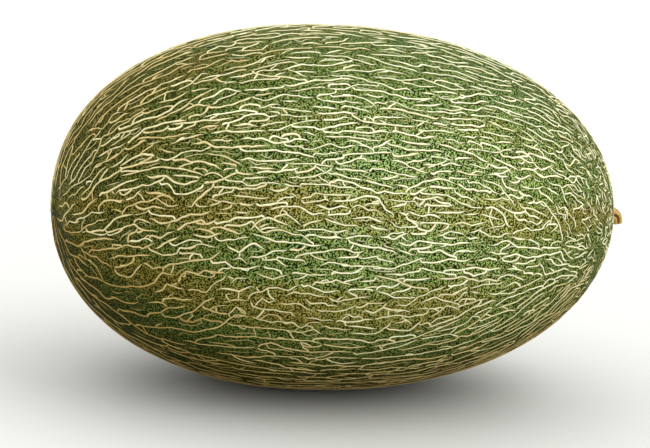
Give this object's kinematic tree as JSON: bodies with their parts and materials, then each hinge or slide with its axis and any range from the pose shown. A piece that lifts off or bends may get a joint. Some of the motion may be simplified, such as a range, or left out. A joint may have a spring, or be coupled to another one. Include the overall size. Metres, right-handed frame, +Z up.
{
  "type": "piel de sapo melon",
  "caption": "Whole ripe oval melon with a green speckled rind, a raised corky net and the dried stub of its stem, lying on its belly.",
  "frame": {"origin": "middle of the flat rest spot on the fruit's belly", "axes": "+X along the fruit towards the stem, +Z up from the rest spot"},
  "size_m": [0.2693, 0.1666, 0.1653],
  "materials": {
    "rind": "green and yellow-brown speckled melon rind, satin",
    "net": "pale dry cork, raised from the rind, matte",
    "stem": "dried golden-brown stalk, matte"
  },
  "bodies": {
    "root": {"fruit": "rind", "stem": "stem"}
  },
  "joints": []
}
